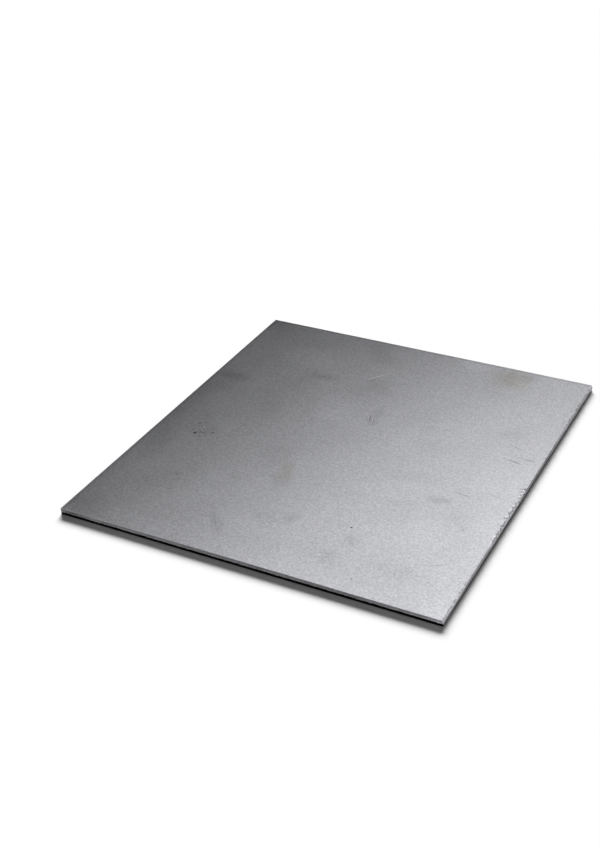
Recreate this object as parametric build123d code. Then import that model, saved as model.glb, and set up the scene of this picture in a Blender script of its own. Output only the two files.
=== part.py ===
"""Nickel sheet: one flat blank of rolled nickel, guillotined on all four sides and lying burr side up.

The origin is the centre of the underside. +X runs along the front edge, +Y from the front edge to the back one,
and +Z up out of the upper face. All lengths are in millimetres.
"""

import os

from build123d import *

# The blank
SHEET_WIDTH = 301.0
SHEET_DEPTH = 340.0
SHEET_THICKNESS = 5.0
CORNER_TIP_RADIUS = 0.3

# The guillotined edge, in shares of the thickness. From the underside up, the blade rolls the edge over, shears a
# straight bright land, and the metal above it tears off at the slant that the gap between the blades leaves.
ROLLOVER_SHARE = 0.04
BRIGHT_LAND_SHARE = 0.39
BLADE_GAP_SHARE = 0.02

# The right-hand edge, rubbed over along its top: how far in on the upper face, and how far down
RUB_REACH = 1.0
RUB_DROP = 1.6

# The nick in the right-hand edge, its place measured from the front edge as a share of the depth
NICK_PLACE_SHARE = 0.493
NICK_LENGTH = 3.0
NICK_REACH = 2.6
NICK_DROP = 2.4
CUT_OVERRUN = 1.0

rollover = ROLLOVER_SHARE * SHEET_THICKNESS
land_top = rollover + BRIGHT_LAND_SHARE * SHEET_THICKNESS
blade_gap = BLADE_GAP_SHARE * SHEET_THICKNESS
corner_radius = CORNER_TIP_RADIUS + rollover


def plan_at(height, inset):
    """The sheet's outline at a height, set in on every side from the upper face's outline."""
    outline = RectangleRounded(SHEET_WIDTH - 2 * inset, SHEET_DEPTH - 2 * inset, corner_radius)
    return Pos(0, 0, height) * outline


def sheared_blank():
    """The whole sheet: rolled-over foot, straight bright land, and torn slant up to the upper face."""
    land = extrude(plan_at(0, blade_gap), land_top)
    foot = land.edges().group_by(Axis.Z)[0]
    land = fillet(foot, rollover)
    torn = loft([plan_at(land_top, blade_gap).face(), plan_at(SHEET_THICKNESS, 0).face()], ruled=True)
    return land + torn


def rubbed_top():
    """The wedge that rubbing has taken off the top of the right-hand edge, along its whole length."""
    overrun = CUT_OVERRUN * RUB_REACH / RUB_DROP
    inner = SHEET_WIDTH / 2 - RUB_REACH - overrun
    outer = SHEET_WIDTH / 2 + overrun
    top = SHEET_THICKNESS + CUT_OVERRUN
    low = SHEET_THICKNESS - RUB_DROP - CUT_OVERRUN
    section = Plane.XZ * make_face(Polyline((inner, top), (outer, top), (outer, low), close=True))
    return extrude(section, SHEET_DEPTH / 2 + CUT_OVERRUN, both=True)


def edge_nick():
    """A V groove that runs out on the upper face and on the right-hand edge, where the edge was knocked."""
    nick_y = (NICK_PLACE_SHARE - 0.5) * SHEET_DEPTH
    inner_end = Vector(SHEET_WIDTH / 2 - NICK_REACH, nick_y, SHEET_THICKNESS)
    groove = Vector(NICK_REACH, 0, -NICK_DROP)
    depth = NICK_REACH * NICK_DROP / groove.length
    height = depth + CUT_OVERRUN
    half_width = NICK_LENGTH / 2 * height / depth
    across = Plane(origin=inner_end, x_dir=(0, 1, 0), z_dir=groove)
    section = across * make_face(Polyline((0, 0), (half_width, height), (-half_width, height), close=True))
    return extrude(section, groove.length + CUT_OVERRUN, both=True)


nickel_sheet = sheared_blank() - rubbed_top() - edge_nick()

os.makedirs("parts", exist_ok=True)
export_step(nickel_sheet, "parts/nickel_sheet.step")
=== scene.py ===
"""Nickel sheet: one blank of rolled and annealed nickel, guillotined on all four sides, lying burr side up.

The sheet is one closed mesh. Its upper face is rolled, with a faint pebble, scratches, pits and soft patches,
and carries painted shade and highlights in its marks and along its left and right edges.
Its edge has a torn band above a bright land and a rolled-over foot, and on the right it is rubbed over; much
of the edge's tone is painted light and shade.

Sizes below are in millimetres, with +X to the right along the front edge, +Y to the back and +Z up. The marks
are placed from the centre of the flat of the upper face. MM turns millimetres into Blender's metres.
"""

import math
from typing import NamedTuple

import bpy
import numpy as np
from bpy.props import FloatProperty, FloatVectorProperty, IntProperty, PointerProperty
from bpy.types import Operator, Panel, PropertyGroup
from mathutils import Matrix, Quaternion, Vector
from mathutils.geometry import delaunay_2d_cdt


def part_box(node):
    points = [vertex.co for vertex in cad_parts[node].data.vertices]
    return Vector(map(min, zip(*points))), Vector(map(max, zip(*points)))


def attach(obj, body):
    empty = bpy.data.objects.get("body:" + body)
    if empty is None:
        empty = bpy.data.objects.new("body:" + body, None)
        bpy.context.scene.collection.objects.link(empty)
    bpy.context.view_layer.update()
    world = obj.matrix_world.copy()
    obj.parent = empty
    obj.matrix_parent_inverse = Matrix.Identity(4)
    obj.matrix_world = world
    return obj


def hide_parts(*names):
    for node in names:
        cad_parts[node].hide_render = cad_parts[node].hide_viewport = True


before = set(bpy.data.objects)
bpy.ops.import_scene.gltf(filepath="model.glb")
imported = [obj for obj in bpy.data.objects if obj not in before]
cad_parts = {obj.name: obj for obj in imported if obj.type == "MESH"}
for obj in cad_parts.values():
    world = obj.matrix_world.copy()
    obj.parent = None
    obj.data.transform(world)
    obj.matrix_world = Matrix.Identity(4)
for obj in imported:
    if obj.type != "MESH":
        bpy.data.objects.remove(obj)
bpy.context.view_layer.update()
SHEET_LOW, SHEET_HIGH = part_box("nickel_sheet")

bl_info = {
    "name": "Nickel Sheet",
    "version": (1, 0, 0),
    "blender": (4, 5, 0),
    "location": "View3D > Sidebar > Nickel Sheet",
    "description": "Builds a guillotined sheet of rolled nickel and a plain stage for it",
    "category": "Add Mesh",
}

MM = 0.001

# The sheet's half width, half depth and thickness, from the frame
HALF_WIDTH = -SHEET_LOW.x / MM
HALF_DEPTH = -SHEET_LOW.y / MM
THICKNESS = SHEET_HIGH.z / MM

# The edge section, in shares of the thickness, from the foot up
ROLLOVER = 0.04 * THICKNESS
LAND_TOP = ROLLOVER + 0.39 * THICKNESS
BLADE_GAP = 0.02 * THICKNESS

# The radius of the outline's corners, and how much more it is than the radius of the rolled-over foot
CORNER_EXTRA = 0.3
CORNER_RADIUS = ROLLOVER + CORNER_EXTRA

# The rows of the edge's mesh
TORN_STEPS = 8
LAND_STEPS = 3
ROLLOVER_STEPS = 3
CORNER_STEPS = 4

# The border of the face: where the even mesh starts, and the border's rows as shares of the way in to there
BORDER_INSET = 4.4
BORDER_SHARES = (1.0, 0.62, 0.42, 0.27, 0.16, 0.08, 0.03)

# The nick in the right-hand edge, and its place as a share of the depth from the front
NICK_SHARE = 0.493
NICK_Y = (NICK_SHARE - 0.5) * 2 * HALF_DEPTH
NICK_LENGTH = 3.0
NICK_REACH = 2.6
NICK_DROP = 2.4
NICK_RISE = NICK_DROP / (NICK_LENGTH / 2)

# The right-hand edge, rubbed over along its top: how far in and down, and the rub's share of the torn band
RUB_INSET = 1.0
RUB_DROP = 1.6
RUB_SHARE = RUB_DROP / (THICKNESS - LAND_TOP)

# The middle of the flat of the upper face, which the rub narrows on the right
FACE_X = -RUB_INSET / 2

# The scuffed stretch of the right-hand edge, along Y, and the length over which it fades
SCUFF_FRONT_Y = -80.0
SCUFF_BACK_Y = -4.0
SCUFF_FADE = 5.0

# How dark the crease line between the face and the right-hand edge is painted as shade, by place along Y
CREASE_SHADE_LINE = (
    (-170, 0.75), (-130, 0.65), (-122, 0.15), (-80, 0.12), (-74, 0.80), (-25, 0.65),
    (-5, 0.20), (60, 0.15), (90, 0.35), (110, 0.65), (150, 0.70), (170, 0.25),
)

# The rubbed slope's painted light and shade, by place along Y: its upper tone, the torn band's share where
# that ends, its lower tone
RUB_PAINTED_SHADING = (
    (-165, 0.90, 0.46, 0.22), (-148, 1.20, 0.46, 0.22), (-130, 1.13, 0.36, 0.20),
    (-112, 1.20, 0.20, 0.47), (-84, 1.20, 0.12, 0.58), (-72, 0.64, 0.60, 0.60),
    (-50, 0.92, 0.60, 0.60), (-26, 0.74, 0.55, 0.48), (-12, 1.12, 0.25, 0.28),
    (44, 1.04, 0.27, 0.20), (60, 1.04, 0.14, 0.34), (80, 0.75, 0.30, 0.40),
    (98, 0.70, 0.52, 0.37), (150, 0.65, 0.46, 0.30), (165, 0.84, 0.42, 0.25),
)

# The deepest notches in the right-hand edge, darkened as painted shade, and the painted glints beside them,
# along Y, and how long they are
NOTCHES = (-3.0, -32.3, -36.0, -49.0, -53.5, -59.1, -64.6, -72.3, -148.1, -155.4, -158.6, -167.4)
PAINTED_GLINTS = (-6.0, -69.8, -77.2)
NOTCH_LENGTH = 1.3

# How dark the rim of the front edge is painted as shade, to damp its highlight, by place along X
FRONT_RIM_SHADE = ((-150, 0.30), (-90, 0.40), (-30, 0.78), (40, 0.72), (110, 0.0))

# The torn band's painted light at its foot and painted shade at its top, on the front and back, and the
# painted shade of the two sides
TORN_FOOT_PAINTED_LIGHT = 1.25
TORN_TOP_PAINTED_SHADE = 0.70
TORN_SIDE_PAINTED_SHADE = 0.66

# Where the torn band turns lighter to the right, and darker to the left as painted shade, along X, and its
# tones there
LIGHT_END_X = 90.0
LIGHT_END_TONE = 1.35
DARK_END_X = -126.0
LEFT_END_PAINTED_SHADE = 0.36

# The meshes inside the borders of the two faces, and the angle that stays sharp between faces
GRID_MARGIN_SHARE = 0.7
MARK_MARGIN = 0.15
JITTER_SHARE = 0.18
UNDER_INSET = 4.0
UNDER_STEP = 7.0
SHARP_ANGLE = math.radians(38)

# The finishes, in the order of the mesh's material slots
ROLLED, TORN, LAND = range(3)

# The mesh attribute that says how dark a place is, from scratches, scuffs and painted shade, or with a
# negative value how light as painted highlight, and how much of the tone a value of 1 takes away
SHADING_AND_WEAR = "shading_and_wear"
SHADING_AND_WEAR_DEPTH = 0.75

# The range that most of a noise texture's values lie in
NOISE_RANGE = (0.30, 0.70)

WHITE = (1.0, 1.0, 1.0, 1.0)


class Scratch(NamedTuple):
    """A scored line on the upper face: its points, its half width and depth, and how dark it is painted as
    shade, or with a negative darkness how light as painted highlight.
    """

    points: tuple
    half_width: float
    depth: float
    darkness: float


class Pit(NamedTuple):
    """A round pit in the upper face, and how dark it is painted as shade, or with a negative darkness how
    light as painted highlight.
    """

    x: float
    y: float
    radius: float
    depth: float
    darkness: float


class Stain(NamedTuple):
    """A soft patch on the upper face: its centre, half sizes, turn in degrees and strength."""

    x: float
    y: float
    half_length: float
    half_width: float
    turn: float
    strength: float


# Dark marks of the face, darkened in their grooves as painted shade, and with a negative darkness the bright
# ones, painted highlights
SCRATCHES = (
    Scratch(((-25.2, 99.8), (-20.0, 107.8), (-14.0, 117.0)), 0.80, 0.004, -0.95),
    Scratch(((-23.6, 98.4), (-20.8, 102.4), (-18.6, 105.8)), 0.65, 0.004, 0.60),
    Scratch(((-11.7, 76.7), (-7.6, 68.4), (-3.3, 60.0)), 0.26, 0.007, 0.25),
    Scratch(((2.0, 47.4), (3.4, 42.8), (5.0, 37.8)), 0.56, 0.050, 1.20),
    Scratch(((4.6, 45.4), (5.6, 42.6), (6.6, 39.8)), 0.50, 0.004, -0.60),
    Scratch(((119.6, 51.5), (124.8, 49.9), (130.0, 48.0)), 0.62, 0.030, 0.75),
    Scratch(((122.0, 30.4), (126.4, 30.4), (130.4, 29.3), (137.2, 27.6)), 0.60, 0.045, 1.30),
    Scratch(((131.0, 36.6), (138.0, 36.4), (144.0, 36.7)), 0.48, 0.020, 0.85),
    Scratch(((135.5, 34.9), (140.5, 35.2), (146.0, 35.0)), 0.48, 0.016, 0.90),
    Scratch(((104.8, -27.6), (109.5, -29.0), (117.0, -29.8)), 0.50, 0.034, 1.15),
    Scratch(((126.7, -20.0), (132.6, -20.8), (139.3, -22.3)), 0.46, 0.028, 0.90),
    Scratch(((114.2, -56.0), (116.0, -58.4)), 0.36, 0.020, 0.60),
    Scratch(((116.0, -121.5), (121.0, -119.5), (125.0, -117.0), (130.0, -113.5)), 0.42, 0.036, 0.80),
    Scratch(((102.4, -136.0), (103.2, -138.8), (104.4, -141.6)), 0.42, 0.036, 0.85),
    Scratch(((104.6, -134.2), (105.4, -135.8)), 0.40, 0.012, -0.45),
    Scratch(((124.5, -130.0), (125.0, -134.0), (126.0, -138.0)), 0.28, 0.020, 0.45),
    Scratch(((49.0, -135.0), (57.0, -143.4), (66.0, -152.0)), 0.30, 0.024, 0.40),
    Scratch(((-43.0, -130.0), (-34.0, -142.0), (-25.5, -153.0)), 0.40, 0.010, 0.30),
    Scratch(((145.4, -16.8), (146.2, -18.2)), 0.42, 0.014, -0.55),
    Scratch(((145.8, -24.6), (146.4, -26.0)), 0.42, 0.014, -0.55),
    Scratch(((153.0, -1.9), (149.6, -3.0), (145.6, -4.2)), 0.80, 0.050, 1.25),
)

# Pits, darkened in their hollows as painted shade, and with a negative darkness painted highlights
PITS = (
    Pit(53.6, -101.1, 1.15, 0.120, 1.15),
    Pit(53.7, -103.0, 0.70, 0.010, -0.25),
    Pit(-96.9, -93.4, 0.85, 0.080, 1.00),
    Pit(-104.4, -85.2, 0.62, 0.040, 0.75),
    Pit(-90.2, -113.5, 0.75, 0.050, 0.95),
    Pit(78.6, -155.1, 0.95, 0.060, 1.00),
    Pit(77.4, -153.3, 0.60, 0.010, -0.45),
    Pit(126.5, -70.6, 0.80, 0.060, 1.20),
    Pit(112.8, -55.1, 0.50, 0.030, 0.70),
    Pit(116.6, -61.5, 0.65, 0.010, -0.70),
    Pit(46.9, -133.3, 0.55, 0.030, 0.90),
    Pit(46.7, -131.5, 0.60, 0.010, -0.65),
    Pit(50.3, -136.4, 0.55, 0.040, 0.65),
    Pit(46.8, -137.3, 0.50, 0.030, 0.65),
    Pit(47.3, -139.9, 0.80, 0.010, -0.72),
    Pit(50.8, -140.5, 0.50, 0.030, 0.60),
    Pit(-114.8, -36.1, 1.75, 0.050, 1.30),
    Pit(-101.8, -30.3, 1.25, 0.040, 1.25),
    Pit(-118.6, -21.5, 1.10, 0.030, 1.20),
    Pit(-99.7, -40.2, 0.75, 0.030, 0.70),
    Pit(-108.9, -26.5, 0.60, 0.020, 0.50),
    Pit(-112.1, -33.7, 0.60, 0.020, 0.32),
    Pit(-118.3, -30.9, 0.60, 0.020, 0.60),
    Pit(-104.2, -36.8, 0.60, 0.020, 0.70),
    Pit(-114.9, -25.3, 0.60, 0.020, 0.70),
    Pit(-112.4, -25.9, 0.85, 0.010, -1.20),
    Pit(-104.1, -34.6, 0.80, 0.010, -0.60),
    Pit(-116.6, -31.4, 0.85, 0.010, -1.10),
    Pit(-109.8, -35.2, 0.80, 0.010, -0.70),
    Pit(-73.0, 98.5, 0.65, 0.030, 0.85),
    Pit(-65.6, 89.7, 0.75, 0.030, 0.85),
    Pit(-50.5, 90.3, 0.75, 0.030, 1.05),
)

# Dull patches of the face, and with a negative strength the bright ones; the long dark patches along the left
# edge are painted shade, and the light ones along the right edge painted light
STAINS = (
    Stain(-30, 145, 27, 15, -40, 0.10),
    Stain(-36, 164, 36, 9, 0, 0.055),
    Stain(82, 152, 17, 22, 0, 0.125),
    Stain(99, 160, 11, 11, 0, 0.12),
    Stain(72, 132, 38, 28, 0, 0.05),
    Stain(-67, 89, 14, 9, -5, 0.085),
    Stain(-53, 90, 8, 6, 0, 0.08),
    Stain(-10, 93, 15, 18, 15, 0.085),
    Stain(-134, 60, 19, 8, 8, 0.18),
    Stain(-153, 6, 24, 84, 0, 0.21),
    Stain(-152, 166, 26, 22, 0, 0.14),
    Stain(-136, -156, 21, 18, -20, 0.13),
    Stain(-152, -118, 14, 56, 0, 0.09),
    Stain(5, 55, 6, 7, 0, 0.08),
    Stain(6, 41, 7, 13, 0, 0.12),
    Stain(117, 66, 14, 18, -20, 0.055),
    Stain(109, 64, 6, 10, 0, 0.06),
    Stain(-112, -30, 17, 13, -15, 0.08),
    Stain(-22, -64, 11, 26, 9, 0.11),
    Stain(-38, -35, 18, 23, 25, 0.045),
    Stain(97, -43, 12, 8, 0, 0.15),
    Stain(119, -61, 18, 8, -38, 0.05),
    Stain(75, -60, 20, 12, 0, 0.04),
    Stain(70, -22, 30, 12, 4, 0.05),
    Stain(10, -111, 9, 9, 0, 0.14),
    Stain(-10, -115, 15, 9, 0, 0.07),
    Stain(-37, -139, 6, 20, 33, 0.115),
    Stain(59, -116, 8, 8, 0, 0.14),
    Stain(54, -140, 10, 14, 30, 0.075),
    Stain(107, -135, 27, 11, -6, 0.06),
    Stain(75, -143, 64, 26, 0, 0.04),
    Stain(-97, -94, 7, 5, 0, 0.07),
    Stain(-103, -104, 20, 18, 0, 0.045),
    Stain(-78, 23, 12, 28, 10, 0.04),
    Stain(62, 22, 16, 11, 0, 0.045),
    Stain(-22, 21, 6, 6, 0, 0.05),
    Stain(-88, 114, 34, 24, -15, -0.11),
    Stain(-29, 45, 23, 30, 0, -0.11),
    Stain(152, -40, 30, 112, 0, -0.09),
    Stain(152, -168, 30, 30, 0, -0.09),
    Stain(50, 163, 16, 12, 0, -0.08),
    Stain(104, -88, 24, 22, 0, -0.055),
    Stain(-94, -18, 9, 16, 0, -0.045),
    Stain(-131, 46, 14, 20, 0, 0.10),
    Stain(-134, -56, 15, 38, 0, 0.12),
    Stain(-124, -13, 18, 13, 0, 0.06),
    Stain(-130, 151, 16, 11, 0, 0.06),
    Stain(10, -146, 17, 24, 0, 0.045),
    Stain(36, -8, 26, 16, 0, 0.03),
    Stain(-68, 122, 26, 38, 15, -0.05),
    Stain(-92, 87, 24, 10, 0, -0.05),
    Stain(-98, -160, 56, 15, 0, -0.07),
    Stain(128, -132, 32, 46, 0, -0.025),
    Stain(120, 0, 15, 40, 0, -0.05),
)

# Patches of straw-brown heat tint
TINTS = (
    Stain(86, 150, 22, 20, 0, 0.55),
    Stain(-23, -56, 8, 13, 12, 0.40),
)

# Smudges with sooty specks
SMUDGES = (
    Stain(-111, -28, 20, 13, -18, 0.45),
    Stain(-62, 89, 18, 7, -4, 0.22),
)


class SheetSettings(PropertyGroup):
    """Sizes and colours of the sheet that a user may change."""

    seed: IntProperty(name="Seed", description="Draws the relief and the ragged edges", default=28, min=0)
    mesh_step: FloatProperty(
        name="Mesh Step", description="Spacing of the upper face's mesh",
        default=1.56 * MM, unit="LENGTH", precision=5,
    )
    edge_step: FloatProperty(
        name="Edge Step", description="Spacing of the mesh along the edges",
        default=0.72 * MM, unit="LENGTH", precision=5,
    )
    wave_height: FloatProperty(
        name="Wave Height", description="Slow waves of the rolled face",
        default=0.022 * MM, unit="LENGTH", precision=6,
    )
    pebble_height: FloatProperty(
        name="Pebble Height", description="Faint pebble of the rolled face",
        default=0.0009 * MM, unit="LENGTH", precision=7,
    )
    grain_height: FloatProperty(
        name="Grain Height", description="Finest grain of the rolled face",
        default=0.0007 * MM, unit="LENGTH", precision=7,
    )
    burr_height: FloatProperty(
        name="Burr Height", description="Lip that the shear left round the upper face",
        default=0.045 * MM, unit="LENGTH", precision=5,
    )
    tear_depth: FloatProperty(
        name="Tear Depth", description="Roughness of the torn band",
        default=0.07 * MM, unit="LENGTH", precision=5,
    )
    land_ragged: FloatProperty(
        name="Land Line", description="How far the top of the bright land strays",
        default=0.10 * MM, unit="LENGTH", precision=5,
    )
    nickel: FloatVectorProperty(
        name="Nickel", description="Colour of the rolled face",
        default=(0.667, 0.671, 0.705), subtype="COLOR",
    )
    heat_tint: FloatVectorProperty(
        name="Heat Tint", description="Colour of the straw-brown patches",
        default=(0.66, 0.63, 0.57), subtype="COLOR",
    )
    soot: FloatVectorProperty(
        name="Soot", description="Colour of the specks in the smudges",
        default=(0.10, 0.10, 0.10), subtype="COLOR",
    )
    torn: FloatVectorProperty(
        name="Torn Band", description="Colour of the torn upper part of the edge",
        default=(0.452, 0.450, 0.472), subtype="COLOR",
    )
    # The land's two colours are painted shade: near black on the front and back, and darker than the nickel
    # on the two sides
    front_land_shade: FloatVectorProperty(
        name="Shaded Front Land", description="Colour of the bright land on the front and back, painted near black as shade",
        default=(0.0045, 0.0045, 0.0047), subtype="COLOR",
    )
    side_land: FloatVectorProperty(
        name="Side Land", description="Colour of the bright land on the two sides",
        default=(0.20, 0.20, 0.205), subtype="COLOR",
    )
    roughness: FloatProperty(
        name="Roughness", description="Roughness of the rolled face",
        default=0.30, min=0.05, max=1.0, subtype="FACTOR",
    )


class StageSettings(PropertyGroup):
    """The camera, the lights and the floor."""

    lens: FloatProperty(
        name="Lens", description="Focal length of the camera in millimetres",
        default=55.287, unit="CAMERA",
    )
    camera_azimuth: FloatProperty(
        name="Azimuth", description="Turn of the camera to the right",
        default=math.radians(27.638), subtype="ANGLE",
    )
    camera_elevation: FloatProperty(
        name="Elevation", description="Height of the camera over the floor",
        default=math.radians(31.099), subtype="ANGLE",
    )
    camera_roll: FloatProperty(
        name="Roll", description="Tilt of the camera about its own axis",
        default=math.radians(-1.515), subtype="ANGLE",
    )
    camera_distance: FloatProperty(
        name="Distance", description="From the camera to its target",
        default=1053.9 * MM, unit="LENGTH",
    )
    camera_target: FloatVectorProperty(
        name="Target", description="Point that the camera looks at",
        default=(-42.96 * MM, 7.48 * MM, 5.0 * MM), unit="LENGTH",
    )
    floor: FloatVectorProperty(
        name="Floor", description="Colour of the floor",
        default=(0.92, 0.92, 0.92), subtype="COLOR",
    )
    surround: FloatProperty(
        name="Surround", description="Level of the white surround",
        default=1.0, min=0.0,
    )
    fill: FloatProperty(
        name="Fill", description="Level of the light that fills the shadow",
        default=0.095, min=0.0,
    )
    card: FloatProperty(
        name="Card", description="Level of the dark cards that the metal mirrors",
        default=0.05, min=0.0,
    )
    key: FloatProperty(
        name="Key", description="Strength of the three key lamps together",
        default=6.95, min=0.0,
    )
    key_azimuth: FloatProperty(
        name="Key Azimuth", description="Turn of the key lamps to the left of the back",
        default=math.radians(25.6), subtype="ANGLE",
    )
    key_elevation: FloatProperty(
        name="Key Elevation", description="Height of the key lamps",
        default=math.radians(26.8), subtype="ANGLE",
    )
    key_spread: FloatProperty(
        name="Key Spread", description="Width of each key lamp as the sheet sees it",
        default=math.radians(20.8), subtype="ANGLE",
    )
    key_fan: FloatProperty(
        name="Key Fan", description="Turn from one key lamp to the next",
        default=math.radians(12.2), subtype="ANGLE",
    )


class Nodes:
    """Adds nodes to one shader tree and links them."""

    def __init__(self, tree):
        self.tree = tree

    def add(self, kind, inputs=(), **settings):
        """A new node with its settings, and its inputs by name or number, as values or as sockets to link."""
        node = self.tree.nodes.new(kind)
        for name, value in settings.items():
            setattr(node, name, value)
        for key, value in dict(inputs).items():
            self.feed(node.inputs[key], value)
        return node

    def feed(self, socket, value):
        """Links a socket to an input, or sets the input's own value."""
        if isinstance(value, bpy.types.NodeSocket):
            self.tree.links.new(value, socket)
        else:
            socket.default_value = value

    def math(self, operation, first, second=0.0):
        """One sum on two values."""
        return self.add("ShaderNodeMath", {0: first, 1: second}, operation=operation).outputs["Value"]

    def product(self, first, *others):
        """Several values multiplied together."""
        for other in others:
            first = self.math("MULTIPLY", first, other)
        return first

    def vector(self, operation, first, second):
        """One sum on two vectors."""
        return self.add("ShaderNodeVectorMath", {0: first, 1: second}, operation=operation).outputs["Vector"]

    def span(self, value, low, high, new_low=0.0, new_high=1.0):
        """A value eased from one range into another."""
        inputs = {"Value": value, "From Min": low, "From Max": high, "To Min": new_low, "To Max": new_high}
        return self.add("ShaderNodeMapRange", inputs, interpolation_type="SMOOTHSTEP").outputs["Result"]

    def ease(self, share, low, high):
        """A value that goes from low to high as a share goes from 0 to 1."""
        return self.span(share, 0.0, 1.0, low, high)

    def blend(self, share, first, second):
        """A colour between two others."""
        inputs = {0: share, 6: first, 7: second}
        return self.add("ShaderNodeMix", inputs, data_type="RGBA").outputs[2]

    def noise(self, place, scale, detail=2.0, roughness=0.5):
        """A noise texture's value at a place."""
        inputs = {"Vector": place, "Scale": scale, "Detail": detail, "Roughness": roughness}
        return self.add("ShaderNodeTexNoise", inputs).outputs["Fac"]

    def place(self):
        """The piece's own coordinates, in metres."""
        return self.add("ShaderNodeTexCoord").outputs["Object"]


def new_group(name, inputs, outputs):
    """An empty shader node group with its sockets, its nodes, and its input and output nodes."""
    tree = bpy.data.node_groups.new(name, "ShaderNodeTree")
    for label, kind, default in inputs:
        socket = tree.interface.new_socket(name=label, in_out="INPUT", socket_type=kind)
        socket.default_value = default
    for label in outputs:
        tree.interface.new_socket(name=label, in_out="OUTPUT", socket_type="NodeSocketFloat")
    nodes = Nodes(tree)
    return nodes, nodes.add("NodeGroupInput").outputs, nodes.add("NodeGroupOutput").inputs


def clouding_group():
    """Slow clouds and small flecks that vary the tone of every nickel finish."""
    sizes = (("Cloud Size", "NodeSocketFloat", 30 * MM), ("Fleck Size", "NodeSocketFloat", 3 * MM))
    nodes, given, made = new_group("nickel_clouding", sizes, ("Clouds", "Flecks"))
    place = nodes.place()
    clouds = nodes.noise(place, nodes.math("DIVIDE", 1.0, given["Cloud Size"]), detail=3.0, roughness=0.55)
    flecks = nodes.noise(place, nodes.math("DIVIDE", 1.0, given["Fleck Size"]), detail=2.0, roughness=0.6)
    nodes.feed(made["Clouds"], nodes.span(clouds, *NOISE_RANGE))
    nodes.feed(made["Flecks"], nodes.span(flecks, *NOISE_RANGE))
    return nodes.tree


def grain_group():
    """Fine grain, drawn out along one axis, for the height of every nickel finish."""
    sizes = (("Grain Size", "NodeSocketFloat", 2 * MM), ("Stretch", "NodeSocketVector", (1.0, 1.0, 1.0)))
    nodes, given, made = new_group("drawn_grain", sizes, ("Height",))
    drawn = nodes.vector("DIVIDE", nodes.place(), given["Stretch"])
    scale = nodes.math("DIVIDE", 1.0, given["Grain Size"])
    nodes.feed(made["Height"], nodes.noise(drawn, scale, detail=2.0, roughness=0.55))
    return nodes.tree


def stain_group():
    """Darkens a tone over one soft, uneven patch, or with a negative strength lightens it."""
    sizes = (
        ("Tone", "NodeSocketFloat", 1.0),
        ("Centre", "NodeSocketVector", (0.0, 0.0, 0.0)),
        ("Half Size", "NodeSocketVector", (10 * MM, 10 * MM, 1.0)),
        ("Turn", "NodeSocketFloat", 0.0),
        ("Strength", "NodeSocketFloat", 0.1),
    )
    nodes, given, made = new_group("soft_stain", sizes, ("Tone",))
    place = nodes.place()
    stray_size = 16 * MM
    stray_reach = (15 * MM, 15 * MM, 0.0)
    noise = nodes.add("ShaderNodeTexNoise", {"Vector": place, "Scale": 1 / stray_size, "Detail": 3.0})
    stray = nodes.vector("SUBTRACT", noise.outputs["Color"], (0.5, 0.5, 0.5))
    strayed = nodes.vector("ADD", place, nodes.vector("MULTIPLY", stray, stray_reach))
    from_centre = nodes.vector("SUBTRACT", strayed, given["Centre"])
    back_turn = nodes.math("MULTIPLY", given["Turn"], -1.0)
    turn_inputs = {"Vector": from_centre, "Angle": back_turn}
    turned = nodes.add("ShaderNodeVectorRotate", turn_inputs, rotation_type="Z_AXIS").outputs["Vector"]
    shares = nodes.vector("DIVIDE", turned, given["Half Size"])
    reach = nodes.add("ShaderNodeVectorMath", {0: shares}, operation="LENGTH").outputs["Value"]
    mask = nodes.span(reach, 0.20, 1.15, 1.0, 0.0)
    kept = nodes.math("SUBTRACT", 1.0, nodes.math("MULTIPLY", mask, given["Strength"]))
    nodes.feed(made["Tone"], nodes.math("MULTIPLY", given["Tone"], kept))
    return nodes.tree


def speck_group():
    """The mask of scattered small specks."""
    sizes = (("Speck Size", "NodeSocketFloat", 2 * MM), ("Share", "NodeSocketFloat", 0.3))
    nodes, given, made = new_group("scattered_specks", sizes, ("Mask",))
    place = nodes.place()
    scale = nodes.math("DIVIDE", 1.0, given["Speck Size"])
    cells = nodes.add("ShaderNodeTexVoronoi", {"Vector": place, "Scale": scale, "Randomness": 1.0})
    ragged = nodes.noise(place, nodes.math("MULTIPLY", scale, 1.7), detail=2.0)
    reach = nodes.math("ADD", cells.outputs["Distance"], nodes.span(ragged, *NOISE_RANGE, -0.22, 0.22))
    chosen = nodes.add("ShaderNodeSeparateColor", {"Color": cells.outputs["Color"]}).outputs["Red"]
    kept = nodes.math("LESS_THAN", chosen, given["Share"])
    nodes.feed(made["Mask"], nodes.math("MULTIPLY", nodes.span(reach, 0.16, 0.42, 1.0, 0.0), kept))
    return nodes.tree


def shading_and_wear_group():
    """Darkens a tone by the mesh's attribute of scratches, scuffs and painted shade, and where it is negative
    lightens it as painted highlight.
    """
    nodes, given, made = new_group("shading_and_wear_tone", (("Tone", "NodeSocketFloat", 1.0),), ("Tone",))
    shading_and_wear = nodes.add("ShaderNodeAttribute", attribute_name=SHADING_AND_WEAR).outputs["Fac"]
    kept = nodes.math("SUBTRACT", 1.0, nodes.math("MULTIPLY", shading_and_wear, SHADING_AND_WEAR_DEPTH))
    nodes.feed(made["Tone"], nodes.math("MULTIPLY", given["Tone"], kept))
    return nodes.tree


def side_group():
    """The mask of what faces the sheet's left or right instead of its front or back, which sets where the
    torn band and the land are painted in shade.
    """
    nodes, _, made = new_group("side_facing", (), ("Mask",))
    normal = nodes.add("ShaderNodeNewGeometry").outputs["Normal"]
    across = nodes.add("ShaderNodeSeparateXYZ", {"Vector": normal}).outputs["X"]
    nodes.feed(made["Mask"], nodes.span(nodes.math("ABSOLUTE", across), 0.35, 0.90))
    return nodes.tree


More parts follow.
